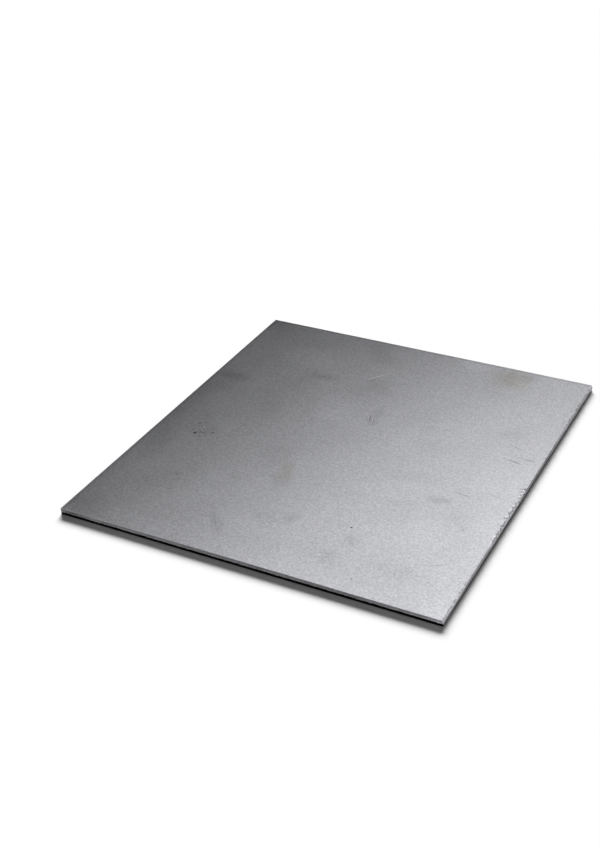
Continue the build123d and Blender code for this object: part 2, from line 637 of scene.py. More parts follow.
def new_material(name):
    """A material with a metal shader, and its nodes."""
    material = bpy.data.materials.new(name)
    material.use_nodes = True
    nodes = Nodes(material.node_tree)
    shader = material.node_tree.nodes["Principled BSDF"]
    shader.inputs["Metallic"].default_value = 1.0
    return material, nodes, shader


def shade(colour, factor=1.0):
    """A colour made lighter or darker, with its alpha."""
    return (*(min(channel * factor, 1.0) for channel in colour), 1.0)


def group_node(nodes, group, **values):
    """A node group in a material, with its inputs named in lower case with underscores."""
    node = nodes.add("ShaderNodeGroup", node_tree=group)
    for name, value in values.items():
        nodes.feed(node.inputs[name.replace("_", " ").title()], value)
    return node.outputs


def patches(nodes, group, stains, tone=1.0):
    """A tone with several soft patches laid over it."""
    for stain in stains:
        tone = group_node(
            nodes, group, tone=tone, strength=stain.strength, turn=math.radians(stain.turn),
            centre=((stain.x + FACE_X) * MM, stain.y * MM, THICKNESS * MM),
            half_size=(stain.half_length * MM, stain.half_width * MM, 1.0),
        )["Tone"]
    return tone


def toned(nodes, colour, tone):
    """A colour made lighter or darker by a value that varies."""
    return nodes.add("ShaderNodeVectorMath", {0: colour, "Scale": tone}, operation="SCALE").outputs["Vector"]


def bump(nodes, shader, height, distance):
    """Feeds a height to the shader's normal."""
    node = nodes.add("ShaderNodeBump", {"Height": height, "Distance": distance, "Strength": 1.0})
    nodes.feed(shader.inputs["Normal"], node.outputs["Normal"])


def rolled_face(settings, groups):
    """Satin rolled nickel with dull clouds, soft patches (painted shade along the left edge and painted light
    along the right), straw heat tint, sooty smudges, and dark and light marks from the mesh's attribute of
    scratches, scuffs and painted shade and highlights.
    """
    material, nodes, shader = new_material("rolled_nickel_face")
    tone = group_node(nodes, groups["clouding"], cloud_size=38 * MM, fleck_size=1.5 * MM)
    pebble = group_node(nodes, groups["grain"], grain_size=3.4 * MM, stretch=(1.0, 1.35, 1.0))["Height"]
    cell_size = 2.6 * MM
    cell_inputs = {"Vector": nodes.place(), "Scale": 1 / cell_size, "Smoothness": 0.5}
    cells = nodes.add("ShaderNodeTexVoronoi", cell_inputs, feature="SMOOTH_F1").outputs["Distance"]
    level = nodes.product(
        nodes.ease(tone["Clouds"], 0.990, 1.010),
        nodes.ease(tone["Flecks"], 0.885, 1.115),
        nodes.span(cells, 0.10, 0.75, 1.030, 0.960),
    )
    level = patches(nodes, groups["stain"], STAINS, level)
    level = group_node(nodes, groups["shading_and_wear"], tone=level)["Tone"]
    tinted = nodes.math("SUBTRACT", 1.0, patches(nodes, groups["stain"], TINTS))
    metal = nodes.blend(tinted, shade(settings.nickel), shade(settings.heat_tint))
    specks = group_node(nodes, groups["specks"], speck_size=3.4 * MM, share=0.55)["Mask"]
    smudged = nodes.math("SUBTRACT", 1.0, patches(nodes, groups["stain"], SMUDGES))
    sooty = nodes.math("MULTIPLY", specks, smudged)
    colour = nodes.blend(sooty, toned(nodes, metal, level), shade(settings.soot))
    nodes.feed(shader.inputs["Base Color"], colour)
    rough = nodes.ease(tone["Flecks"], settings.roughness - 0.01, settings.roughness + 0.01)
    rough = nodes.math("ADD", rough, nodes.math("MULTIPLY", sooty, 0.2))
    nodes.feed(shader.inputs["Roughness"], rough)
    bump(nodes, shader, pebble, settings.grain_height)
    return material


def rubbed_painted_light(nodes, flecks):
    """The flecked tone of the rubbed slope, which is told by its facing up and painted lighter there as
    painted light.
    """
    normal = nodes.add("ShaderNodeNewGeometry").outputs["Normal"]
    rise = nodes.add("ShaderNodeSeparateXYZ", {"Vector": normal}).outputs["Z"]
    return nodes.span(rise, 0.15, 0.45, 1.0, nodes.ease(flecks, 1.05, 1.65))


def torn_band(settings, groups):
    """Dull torn metal above the land, with upright grain, on the front and back painted lighter low down and
    darker at the top, and on the two sides painted darker as shade.
    """
    material, nodes, shader = new_material("torn_nickel_edge")
    tone = group_node(nodes, groups["clouding"], cloud_size=18 * MM, fleck_size=1.2 * MM)
    grain = group_node(nodes, groups["grain"], grain_size=0.45 * MM, stretch=(1.0, 1.0, 3.5))["Height"]
    side = group_node(nodes, groups["side"])["Mask"]
    place = nodes.add("ShaderNodeSeparateXYZ", {"Vector": nodes.place()}).outputs
    # Painted light low down and painted shade near the top
    upright = nodes.span(place["Z"], LAND_TOP * MM, THICKNESS * MM, TORN_FOOT_PAINTED_LIGHT, TORN_TOP_PAINTED_SHADE)
    level = nodes.product(
        nodes.ease(side, upright, 1.0),
        nodes.span(place["X"], LIGHT_END_X * MM, HALF_WIDTH * MM, 1.0, LIGHT_END_TONE),
        # Painted shade at the left end
        nodes.span(place["X"], -HALF_WIDTH * MM, DARK_END_X * MM, LEFT_END_PAINTED_SHADE, 1.0),
        # The rubbed slope, painted lighter as painted light
        rubbed_painted_light(nodes, tone["Flecks"]),
        nodes.span(grain, *NOISE_RANGE, 0.80, 1.20),
        nodes.ease(tone["Clouds"], 0.90, 1.10),
    )
    level = group_node(nodes, groups["shading_and_wear"], tone=level)["Tone"]
    # The two sides are painted darker as shade
    metal = nodes.blend(side, shade(settings.torn), shade(settings.torn, TORN_SIDE_PAINTED_SHADE))
    nodes.feed(shader.inputs["Base Color"], toned(nodes, metal, level))
    nodes.feed(shader.inputs["Roughness"], nodes.ease(tone["Flecks"], 0.44, 0.58))
    bump(nodes, shader, grain, 0.02 * MM)
    return material


def bright_land(settings, groups):
    """The burnished land: glossy and lined by the blade, painted dark as shade, and near black as painted
    shade on the front and back.
    """
    material, nodes, shader = new_material("bright_nickel_land")
    tone = group_node(nodes, groups["clouding"], cloud_size=40 * MM, fleck_size=2 * MM)
    lines = group_node(nodes, groups["grain"], grain_size=0.30 * MM, stretch=(1.0, 1.0, 30.0))["Height"]
    side = group_node(nodes, groups["side"])["Mask"]
    # Painted shade: near black on the front and back, dark on the sides
    metal = nodes.blend(side, shade(settings.front_land_shade), shade(settings.side_land))
    colour = toned(nodes, metal, nodes.span(lines, *NOISE_RANGE, 1.20, 0.70))
    nodes.feed(shader.inputs["Base Color"], colour)
    nodes.feed(shader.inputs["Roughness"], nodes.ease(tone["Clouds"], 0.18, 0.30))
    bump(nodes, shader, lines, 0.008 * MM)
    return material


class Waves:
    """A random surface of plane waves within a band of wavelengths, drawn out along Y by the rolls."""

    def __init__(self, rng, count, shortest, longest, drawn_out):
        length = np.exp(rng.uniform(math.log(shortest), math.log(longest), count))
        heading = rng.uniform(0, math.tau, count)
        turns = math.tau / length
        self.across = turns * np.cos(heading)
        self.along = turns * np.sin(heading) / drawn_out
        self.phase = rng.uniform(0, math.tau, count)

    def at(self, x, y):
        """Heights of unit spread at these places."""
        total = np.zeros_like(x)
        for across, along, phase in zip(self.across, self.along, self.phase):
            total += np.sin(across * x + along * y + phase)
        return total * math.sqrt(2 / len(self.phase))


def smoothstep(value, low, high):
    """0 below low, 1 above high, eased between."""
    share = np.clip((value - low) / (high - low), 0.0, 1.0)
    return share * share * (3 - 2 * share)


def ragged_line(rng, count, step, longest, shortest):
    """A closed line of random waves with unit spread, for what strays along the edge."""
    frequency = np.fft.rfftfreq(count, step)
    spectrum = rng.normal(size=frequency.size) + 1j * rng.normal(size=frequency.size)
    spectrum[(frequency < 1 / longest) | (frequency > 1 / shortest)] = 0
    line = np.fft.irfft(spectrum, count)
    return line / line.std()


def smooth_path(points, step):
    """A line through a scratch's points, rounded between them, at even steps."""
    points = np.array(points, float)
    padded = np.concatenate([[2 * points[0] - points[1]], points, [2 * points[-1] - points[-2]]])
    path = []
    for before, start, end, after in zip(padded, padded[1:], padded[2:], padded[3:]):
        count = max(2, round(math.dist(start, end) / step))
        share = np.linspace(0, 1, count, endpoint=False)[:, None]
        leave = (end - before) / 2
        arrive = (after - start) / 2
        bend = (2 * share ** 3 - 3 * share ** 2 + 1) * start + (share ** 3 - 2 * share ** 2 + share) * leave
        path.append(bend + (3 * share ** 2 - 2 * share ** 3) * end + (share ** 3 - share ** 2) * arrive)
    return np.concatenate(path + [points[-1:]])


def path_distance(path, x, y):
    """Distance of each place from a path, and how far along the path its nearest point is, from 0 to 1."""
    nearest = np.full(x.shape, np.inf)
    along = np.zeros(x.shape)
    for index, (start, end) in enumerate(zip(path, path[1:])):
        run = end - start
        share = np.clip(((x - start[0]) * run[0] + (y - start[1]) * run[1]) / (run @ run), 0, 1)
        distance = np.hypot(x - start[0] - share * run[0], y - start[1] - share * run[1])
        closer = distance < nearest
        nearest[closer] = distance[closer]
        along[closer] = (index + share[closer]) / (len(path) - 1)
    return nearest, along


class UpperFace:
    """The height of the rolled face over its plan, with every mark in it."""

    # How high a wave can be, and the room that the waves take, in shares of their height
    WAVE_LIMIT = 2.0
    WAVE_ROOM = 2.2

    # A scratch's section in shares of its half width: its raised lips, the painted highlight on the lips, and
    # its points in the mesh
    LIP_PLACE = 1.3
    LIP_WIDTH = 0.35
    LIP_HEIGHT = 0.30
    LIP_PAINTED_HIGHLIGHT = 0.4
    ACROSS_SHARES = (-2.1, -LIP_PLACE, -1.0, 0.0, 1.0, LIP_PLACE, 2.1)
    NEAR_SHARE = 4

    # The rings of a pit's points in the mesh, in shares of its radius
    RING_SHARES = (0.0, 0.35, 0.7, 1.0, 1.4)
    RING_POINTS = 10

    # The step along a scratch, and how far the plain mesh keeps from the marks
    PATH_STEP = 0.42
    CLEARANCE = 0.55

    def __init__(self, settings, rng):
        self.burr = settings.burr_height / MM
        self.wave_height = settings.wave_height / MM
        self.pebble_height = settings.pebble_height / MM
        self.waves = Waves(rng, count=26, shortest=45.0, longest=150.0, drawn_out=1.3)
        self.pebble = Waves(rng, count=90, shortest=3.6, longest=8.0, drawn_out=1.4)
        self.paths = [smooth_path(scratch.points, self.PATH_STEP) + (FACE_X, 0.0) for scratch in SCRATCHES]
        self.pits = [pit._replace(x=pit.x + FACE_X) for pit in PITS]
        self.level = THICKNESS - self.burr - self.WAVE_ROOM * self.wave_height

    def marked(self, x, y):
        """Height of the face over the floor, and how dark its scratches and pits are painted as shade, or how
        light as painted highlight.
        """
        waves = np.clip(self.waves.at(x, y), -self.WAVE_LIMIT, self.WAVE_LIMIT)
        z = self.level + self.wave_height * waves
        z += self.pebble_height * self.pebble.at(x, y)
        shading_and_wear = np.zeros(x.shape)
        for scratch, path in zip(SCRATCHES, self.paths):
            near = self.near_path(path, x, y, self.NEAR_SHARE * scratch.half_width)
            away, along = path_distance(path, x[near], y[near])
            ends = np.sin(math.pi * np.clip(along, 0.02, 0.98)) ** 0.6
            shares = away / scratch.half_width
            groove = np.clip(1 - shares, 0, None)
            lip = self.LIP_HEIGHT * np.exp(-((shares - self.LIP_PLACE) / self.LIP_WIDTH) ** 2)
            z[near] += scratch.depth * ends * (lip - groove)
            shading_and_wear[near] += scratch.darkness * ends * (groove - self.LIP_PAINTED_HIGHLIGHT * lip)
        for pit in self.pits:
            bowl = np.clip(1 - np.hypot(x - pit.x, y - pit.y) / pit.radius, 0, None)
            z -= pit.depth * np.sqrt(bowl)
            shading_and_wear += pit.darkness * np.sqrt(bowl)
        return z, shading_and_wear

    @staticmethod
    def near_path(path, x, y, margin):
        """Which places lie in the box round a path."""
        low = path.min(0) - margin
        high = path.max(0) + margin
        return (x > low[0]) & (x < high[0]) & (y > low[1]) & (y < high[1])

    def mark_points(self):
        """Points that carry the scratches' and pits' sections in the mesh."""
        rows = []
        for scratch, path in zip(SCRATCHES, self.paths):
            run = np.gradient(path, axis=0)
            side = np.stack([-run[:, 1], run[:, 0]], 1) / np.linalg.norm(run, axis=1)[:, None]
            for share in self.ACROSS_SHARES:
                rows.append(path + share * scratch.half_width * side)
        turn = np.linspace(0, math.tau, self.RING_POINTS, endpoint=False)
        for pit in self.pits:
            for share in self.RING_SHARES:
                ring = np.stack([np.cos(turn), np.sin(turn)], 1)[: 1 if share == 0 else None]
                rows.append(np.array([pit.x, pit.y]) + share * pit.radius * ring)
        return np.concatenate(rows)

    def clear_of_marks(self, x, y):
        """Which places are far enough from every mark to belong to the plain mesh."""
        clear = np.ones(x.shape, bool)
        for scratch, path in zip(SCRATCHES, self.paths):
            margin = self.ACROSS_SHARES[-1] * scratch.half_width + self.CLEARANCE
            near = self.near_path(path, x, y, margin)
            clear[near] &= path_distance(path, x[near], y[near])[0] > margin
        for pit in self.pits:
            margin = self.RING_SHARES[-1] * pit.radius + self.CLEARANCE
            clear &= np.hypot(x - pit.x, y - pit.y) > margin
        return clear


def side_places(half, step, fine=None):
    """Places along one straight side, from -half to half, closer together within the fine stretch."""
    places = [-half]
    while places[-1] < half:
        inside = fine is not None and fine[0] < places[-1] < fine[1]
        places.append(places[-1] + (step / 2 if inside else step))
    return np.array(places) * half / places[-1]


class Outline:
    """The sheet's outline as columns of the edge's mesh, counter-clockwise from the front left corner."""

    # How far a column leans to a side that it counts as part of
    LEAN = 0.7

    def __init__(self, step):
        inner = np.array([HALF_WIDTH - CORNER_RADIUS, HALF_DEPTH - CORNER_RADIUS])
        front = side_places(inner[0], step) / inner[0]
        right = side_places(inner[1], step, (SCUFF_FRONT_Y, SCUFF_BACK_Y + NICK_LENGTH)) / inner[1]
        left = side_places(inner[1], step) / inner[1]
        corner = np.linspace(0, math.pi / 2, CORNER_STEPS + 1)[1:-1]
        reach = []
        facing = []
        for turn, places in enumerate((front, right, front, left)):
            angle = turn * math.pi / 2
            along = np.array([math.cos(angle), math.sin(angle)]).round()
            out = np.array([along[1], -along[0]])
            reach.append(out + places[:, None] * along)
            facing.append(np.repeat(out[None], len(places), 0))
            reach.append(np.repeat((out + along)[None], len(corner), 0))
            facing.append(np.cos(corner)[:, None] * out + np.sin(corner)[:, None] * along)
        self.reach = np.concatenate(reach)
        self.facing = np.concatenate(facing)
        self.inner = inner
        self.count = len(self.reach)
        self.front = self.facing[:, 1] < -self.LEAN
        self.back = self.facing[:, 1] > self.LEAN
        self.left = self.facing[:, 0] < -self.LEAN

    def at(self, inset):
        """The outline set in by a distance, one for all columns or one for each."""
        inset = np.broadcast_to(inset, self.count)[:, None]
        return self.reach * (self.inner - inset) + CORNER_RADIUS * self.facing


def nick_floor(x, y):
    """Height of the V groove's two walls where the right-hand edge was knocked."""
    run_in = x - (HALF_WIDTH - NICK_REACH)
    return THICKNESS - NICK_DROP * run_in / NICK_REACH + NICK_RISE * np.abs(y - NICK_Y)


class EdgeRow(NamedTuple):
    """One row of the edge's mesh: its points, their painted shade, light and wear, and the finish of the band
    down to the next row.
    """

    points: np.ndarray
    shading_and_wear: np.ndarray
    finish: int


class RightEdge:
    """What wear has done along the right-hand edge: how far it is rubbed over, scuffed, lined and notched,
    with painted shade in its crease line and notches, painted glints, and the rubbed slope's painted light
    and shade.
    """

    # How squarely a column has to face right, and the torn band's share over which the painted shading
    # changes
    SQUARE = 0.99
    TONE_FADE = 0.08

    def __init__(self, outline, line):
        self.y = outline.at(0.0)[:, 1]
        self.there = outline.facing[:, 0] > self.SQUARE
        self.reach = RUB_INSET * np.clip(1 + 0.14 * line(60, 8), 0.75, 1.25)
        scuffed = smoothstep(self.y, SCUFF_FRONT_Y, SCUFF_FRONT_Y + SCUFF_FADE)
        scuffed *= 1 - smoothstep(self.y, SCUFF_BACK_Y - SCUFF_FADE / 2, SCUFF_BACK_Y)
        self.scuffed = scuffed * self.there
        places, depths = zip(*CREASE_SHADE_LINE)
        crease_shade = np.interp(self.y, places, depths) * self.there
        self.lined = crease_shade * np.clip(0.5 + 0.8 * line(12, 4), 0, 1.8)
        places, *tones = zip(*RUB_PAINTED_SHADING)
        self.top_tone, self.light_share, self.foot_tone = (np.interp(self.y, places, tone) for tone in tones)
        self.notched = self.spots(NOTCHES)
        self.glinted = self.spots(PAINTED_GLINTS)

    def spots(self, places):
        """How near each column is to any of these places along the edge."""
        return self.there * sum(np.exp(-((self.y - place) / NOTCH_LENGTH) ** 2) for place in places)

    def painted_shading_at(self, share):
        """How light the edge is painted, as the rubbed slope's painted light and shade, at a share of the way
        from its rim to the land: 1 below the rubbed slope.
        """
        if share > RUB_SHARE:
            return np.ones_like(self.y)
        lower = smoothstep(share - self.light_share, -self.TONE_FADE, self.TONE_FADE)
        tone = self.top_tone + (self.foot_tone - self.top_tone) * lower
        return np.where(self.there, tone, 1.0)

    def rubbed_at(self, height):
        """How far in the rubbed slope lies at a height."""
        return self.reach * np.clip(1 - (THICKNESS - height) / RUB_DROP, 0, 1)

    def nicked_at(self, height):
        """How far in the nick's walls lie at a height."""
        drop = THICKNESS + NICK_RISE * np.abs(self.y - NICK_Y) - height
        return self.there * NICK_REACH * np.clip(1 - drop / NICK_DROP, 0, 1)


class CutEdge:
    """The edge as rows of mesh, from the border of the face over the burr, down the cut and to the foot."""

    # The rim's inset, stray, drop below the lip and painted shade on the left and back, and the blade's lines
    RIM_INSET = 0.03
    RIM_STRAY = 0.02
    RIM_DROP = 0.06
    RIM_PAINTED_SHADE = 0.24
    BLADE_LINES = 0.012

    # The burr's height along the front, as a share of its height elsewhere
    FRONT_BURR = 0.3

    # Where each effect starts and where it is full, in shares of the way out over the face's border; the rim,
    # front rim, crease and notch ranges are for painted shade, and the glint range for painted highlight
    SCUFF_RANGE = (0.25, 0.6)
    RIM_SHADE_RANGE = (0.25, 0.55)
    FLECK_RANGE = (0.5, 0.9)
    GLINT_RANGE = (0.55, 0.80)
    LIP_RANGE = (0.8, 0.95)
    CREASE_AND_NOTCH_SHADE_RANGE = (0.86, 0.97)
    FRONT_RIM_SHADE_RANGE = (0.93, 0.97)

    def __init__(self, settings, face, outline, rng):
        self.settings = settings
        self.face = face
        self.outline = outline
        self.rng = rng
        right = RightEdge(outline, self.line)
        burr = settings.burr_height / MM
        self.lip = burr * np.clip(0.5 + 0.16 * self.line(30, 2) + 0.4 * right.scuffed, 0.1, 0.95)
        self.lip *= np.clip(1 - right.notched, 0, 1) * np.where(outline.front, self.FRONT_BURR, 1.0)
        # Painted shade in the crease line and in the notches
        self.dark = np.clip(right.lined + 0.9 * right.notched, 0, 1)
        # The rim on the left and back is darkened as painted shade
        self.dull = self.RIM_PAINTED_SHADE * (outline.left | outline.back)
        # The front rim is darkened as painted shade
        places, depths = zip(*FRONT_RIM_SHADE)
        self.front = outline.front * np.interp(outline.at(0.0)[:, 0], places, depths)
        self.ragged = np.clip(self.RIM_INSET + self.RIM_STRAY * self.line(12, 1.6), 0.0, 0.1)
        self.inner_fleck = self.line(20, 7)
        self.outer_fleck = self.line(20, 7)
        self.plain = np.zeros(outline.count)
        self.right = right

    def line(self, longest, shortest):
        """A random line along the whole edge, with waves between two lengths."""
        return ragged_line(self.rng, self.outline.count, self.settings.edge_step / MM, longest, shortest)

    def drawn_in(self, inset, reach):
        """The outline set in, with its right-hand side drawn in by a further reach."""
        plan = self.outline.at(inset)
        plan[:, 0] -= reach * np.clip(1 - (HALF_WIDTH - plan[:, 0]) / BORDER_INSET, 0, 1)
        return plan

    def on_face(self, inset, raised, shading_and_wear, finish):
        """A row on the upper face, sunk where the nick cuts it."""
        plan = self.drawn_in(inset, self.right.reach)
        flat, marked = self.face.marked(*plan.T)
        flat += raised
        sunk = np.clip(flat - nick_floor(*plan.T), 0, None)
        # Where the nick sinks the face, it is darkened as painted shade
        shading_and_wear = shading_and_wear + marked + np.clip(1.6 * sunk, 0, 1)
        return EdgeRow(np.column_stack([plan, flat - sunk]), shading_and_wear, finish)

    def on_cut(self, inset, height, reach, shading_and_wear, finish):
        """A row on the cut below the rim."""
        return EdgeRow(np.column_stack([self.drawn_in(inset, reach), height]), shading_and_wear, finish)

    def border_rows(self):
        """The rows of the face's border, and the rim."""
        right = self.right
        rows = []
        for share in BORDER_SHARES:
            near = 1 - share
            outer = smoothstep(near, *self.FLECK_RANGE)
            fleck = self.inner_fleck + (self.outer_fleck - self.inner_fleck) * outer
            scuff = right.scuffed * smoothstep(near, *self.SCUFF_RANGE)
            shading_and_wear = scuff * np.clip(0.4 * fleck ** 3, -0.25, 0.8)
            # Painted shade on the left and back rim, the front rim, the crease line and the notches, and
            # painted glints
            shading_and_wear += self.dull * smoothstep(near, *self.RIM_SHADE_RANGE)
            shading_and_wear += smoothstep(near, *self.FRONT_RIM_SHADE_RANGE) * self.front
            # Painted glints lighten the border beside the notches
            glinted = smoothstep(near, *self.GLINT_RANGE) * 0.5 * right.glinted
            shading_and_wear += smoothstep(near, *self.CREASE_AND_NOTCH_SHADE_RANGE) * self.dark - glinted
            inset = self.ragged + (BORDER_INSET - self.ragged) * share
            rows.append(self.on_face(inset, self.lip * smoothstep(near, *self.LIP_RANGE), shading_and_wear, ROLLED))
        # The rim row carries the painted shade of the crease, the notches and the front rim
        rows.append(self.on_face(self.ragged, self.lip - self.RIM_DROP, self.dark + self.front, TORN))
        return rows

    def torn_rows(self, rim, land_line):
        """The rows of the torn band, down to the top of the land."""
        right = self.right
        tear = self.settings.tear_depth / MM
        light = np.clip(0.4 * right.scuffed * self.outer_fleck, -0.4, 0.4)
        streak = self.line(6, 1.5)
        rows = []
        for index in range(1, TORN_STEPS + 1):
            share = index / TORN_STEPS
            grain = np.clip(0.6 * streak + 0.8 * self.line(4, 1.45), -0.4, 2)
            inset = self.ragged * (1 - share) + BLADE_GAP * share + tear * math.sin(math.pi * share) * grain
            height = rim + (land_line - rim) * share
            reach = np.maximum(right.rubbed_at(height), right.nicked_at(height))
            shading_and_wear = self.dark * max(0.0, 0.5 - 3.0 * share) - light * max(0.0, 1 - share / 0.7)
            # The rubbed slope's painted light and shade
            shading_and_wear += (1 - right.painted_shading_at(share)) / SHADING_AND_WEAR_DEPTH
            finish = LAND if index == TORN_STEPS else TORN
            rows.append(self.on_cut(np.clip(inset, 0.0, None), height, reach, shading_and_wear, finish))
        return rows

    def land_rows(self, land_line):
        """The rows of the bright land and of the rolled-over foot."""
        flank = BLADE_GAP + self.BLADE_LINES * self.line(3, 1.45)
        rows = []
        for index in range(1, LAND_STEPS + 1):
            height = land_line + (ROLLOVER - land_line) * index / LAND_STEPS
            rows.append(self.on_cut(flank, height, self.right.nicked_at(height), self.plain, LAND))
        for angle in np.linspace(0, math.pi / 2, ROLLOVER_STEPS + 1)[1:]:
            inset = flank + ROLLOVER * (1 - math.cos(angle))
            height = np.full(self.outline.count, ROLLOVER * (1 - math.sin(angle)))
            rows.append(self.on_cut(inset, height, self.plain, self.plain, LAND))
        return rows

    def rows(self):
        """All the rows in order, from the face's border to the underside."""
        border = self.border_rows()
        land_line = LAND_TOP + self.settings.land_ragged / MM * np.clip(self.line(40, 2.5), -2.2, 2.2)
        torn = self.torn_rows(border[-1].points[:, 2], land_line)
        return [*border, *torn, *self.land_rows(land_line)]


def filled(boundary, inner):
    """Triangles over a closed boundary and the points inside it, numbered boundary first."""
    count = len(boundary)
    points = [Vector(point) for point in np.concatenate([boundary, inner])]
    edges = [(index, (index + 1) % count) for index in range(count)]
    made = delaunay_2d_cdt(points, edges, [list(range(count))], 1, 1e-6)
    if len(made[0]) != len(points):
        raise RuntimeError("two points of the face's mesh fell together")
    return made[2]


def jittered_grid(rng, half, step):
    """Points over a rectangle on a loose grid, every other row shifted by half a step."""
    rows = max(2, round(2 * half[1] / (step * math.sqrt(3) / 2)))
    columns = max(2, round(2 * half[0] / step))
    along = np.linspace(-half[1], half[1], rows)
    across = np.linspace(-half[0], half[0], columns)
    y, x = np.meshgrid(along, across, indexing="ij")
    x = x + (np.arange(rows) % 2)[:, None] * step / 2
    stray = rng.uniform(-JITTER_SHARE, JITTER_SHARE, (rows * columns, 2)) * step
    points = np.stack([x.ravel(), y.ravel()], 1) + stray
    return points[(np.abs(points) < half).all(1)]


def face_points(settings, face, rng):
    """Points of the upper face inside its border: a loose grid, and the sections of the marks."""
    step = settings.mesh_step / MM
    inside = np.array([HALF_WIDTH, HALF_DEPTH]) - BORDER_INSET
    grid = jittered_grid(rng, inside - GRID_MARGIN_SHARE * step, step)
    marks = face.mark_points()
    marks = marks[(np.abs(marks) < inside - MARK_MARGIN).all(1)]
    return np.concatenate([grid[face.clear_of_marks(*grid.T)], marks])


def renumbered(triangles, count, first_edge, first_inner):
    """A filled face's triangles, with the numbers that its points have in the whole mesh."""
    return [
        [corner + first_edge if corner < count else corner - count + first_inner for corner in corners]
        for corners in triangles
    ]


def sheet_faces(rows, top, under):
    """The corners and the finish of every face: the upper face, the bands of the edge and the underside."""
    count = len(rows[0].points)
    first_top = count * len(rows)
    faces = renumbered(filled(rows[0].points[:, :2], top), count, 0, first_top)
    finishes = [ROLLED] * len(faces)
    for index, row in enumerate(rows[:-1]):
        here = index * count
        below = here + count
        for column in range(count):
            beside = (column + 1) % count
            faces.append([here + column, below + column, below + beside, here + beside])
            finishes.append(row.finish)
    foot = filled(rows[-1].points[:, :2], under)
    lower = renumbered(foot, count, first_top - count, first_top + len(top))
    faces.extend(corners[::-1] for corners in lower)
    finishes.extend([ROLLED] * len(lower))
    return faces, finishes


def sheet_mesh(settings):
    """The closed mesh of the whole sheet, in metres, with the finish of every face."""
    rng = np.random.default_rng(settings.seed)
    face = UpperFace(settings, rng)
    rows = CutEdge(settings, face, Outline(settings.edge_step / MM), rng).rows()
    top = face_points(settings, face, rng)
    top_height, top_shading_and_wear = face.marked(*top.T)
    under = jittered_grid(rng, np.array([HALF_WIDTH, HALF_DEPTH]) - UNDER_INSET, UNDER_STEP)
    flat = np.zeros(len(under))
    inner = [np.column_stack([top, top_height]), np.column_stack([under, flat])]
    points = [row.points for row in rows] + inner
    shading_and_wear_values = [row.shading_and_wear for row in rows] + [top_shading_and_wear, flat]
    faces, finishes = sheet_faces(rows, top, under)
    mesh = bpy.data.meshes.new("rolled_sheet")
    mesh.from_pydata((np.concatenate(points) * MM).tolist(), [], faces)
    mesh.polygons.foreach_set("material_index", finishes)
    darkness = mesh.attributes.new(SHADING_AND_WEAR, "FLOAT", "POINT").data
    darkness.foreach_set("value", np.concatenate(shading_and_wear_values).astype(np.float32))
    mesh.shade_smooth()
    mesh.set_sharp_from_angle(angle=SHARP_ANGLE)
    return mesh


class NICKELSHEET_OT_rolled_sheet(Operator):
    """Build the sheet: its rolled face with the marks in it, its guillotined edge and its underside"""

    bl_idname = "nickel_sheet.rolled_sheet"
    bl_label = "Rolled Sheet"
    bl_options = {"REGISTER", "UNDO"}

    def execute(self, context):
        settings = context.scene.nickel_sheet
        groups = {
            "clouding": clouding_group(),
            "grain": grain_group(),
            "stain": stain_group(),
            "specks": speck_group(),
            "shading_and_wear": shading_and_wear_group(),
            "side": side_group(),
        }
        mesh = sheet_mesh(settings)
        for finish in (rolled_face, torn_band, bright_land):
            mesh.materials.append(finish(settings, groups))
        sheet = bpy.data.objects.new("rolled_sheet", mesh)
        context.scene.collection.objects.link(sheet)
        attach(sheet, "root")
        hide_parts("nickel_sheet")
        return {"FINISHED"}


def link_stage(context, name, data):
    """A new object of the stage."""
    thing = bpy.data.objects.new(name, data)
    context.scene.collection.objects.link(thing)
    return thing


def studio_floor(context, settings):
    """A wide pale floor under the sheet."""
    reach = 12.0
    drop = -0.01 * MM
    mesh = bpy.data.meshes.new("studio_floor")
    corners = [(-reach, -reach, drop), (reach, -reach, drop), (reach, reach, drop), (-reach, reach, drop)]
    mesh.from_pydata(corners, [], [(0, 1, 2, 3)])
    material = bpy.data.materials.new("pale_floor")
    material.use_nodes = True
    shader = material.node_tree.nodes["Principled BSDF"]
    shader.inputs["Base Color"].default_value = (*settings.floor, 1.0)
    shader.inputs["Roughness"].default_value = 1.0
    shader.inputs["Specular IOR Level"].default_value = 0.0
    mesh.materials.append(material)
    link_stage(context, "studio_floor", mesh)


class Card(NamedTuple):
    """A curved dark card round the sheet: degrees clockwise from the back, with the card's height at each."""

    name: str
    tops: tuple


CARDS = (
    Card("dark_card_back_left", ((-75, 1.95), (-60, 1.45), (-45, 1.15), (-16, 0.70), (10, 0.45), (30, 0.05))),
    Card("dark_card_right", ((78, 0.8), (128, 0.8))),
    Card("dark_card_front", ((178, 0.8), (232, 0.8))),
)
CARD_RADIUS = 1.3
CARD_STEPS = 28


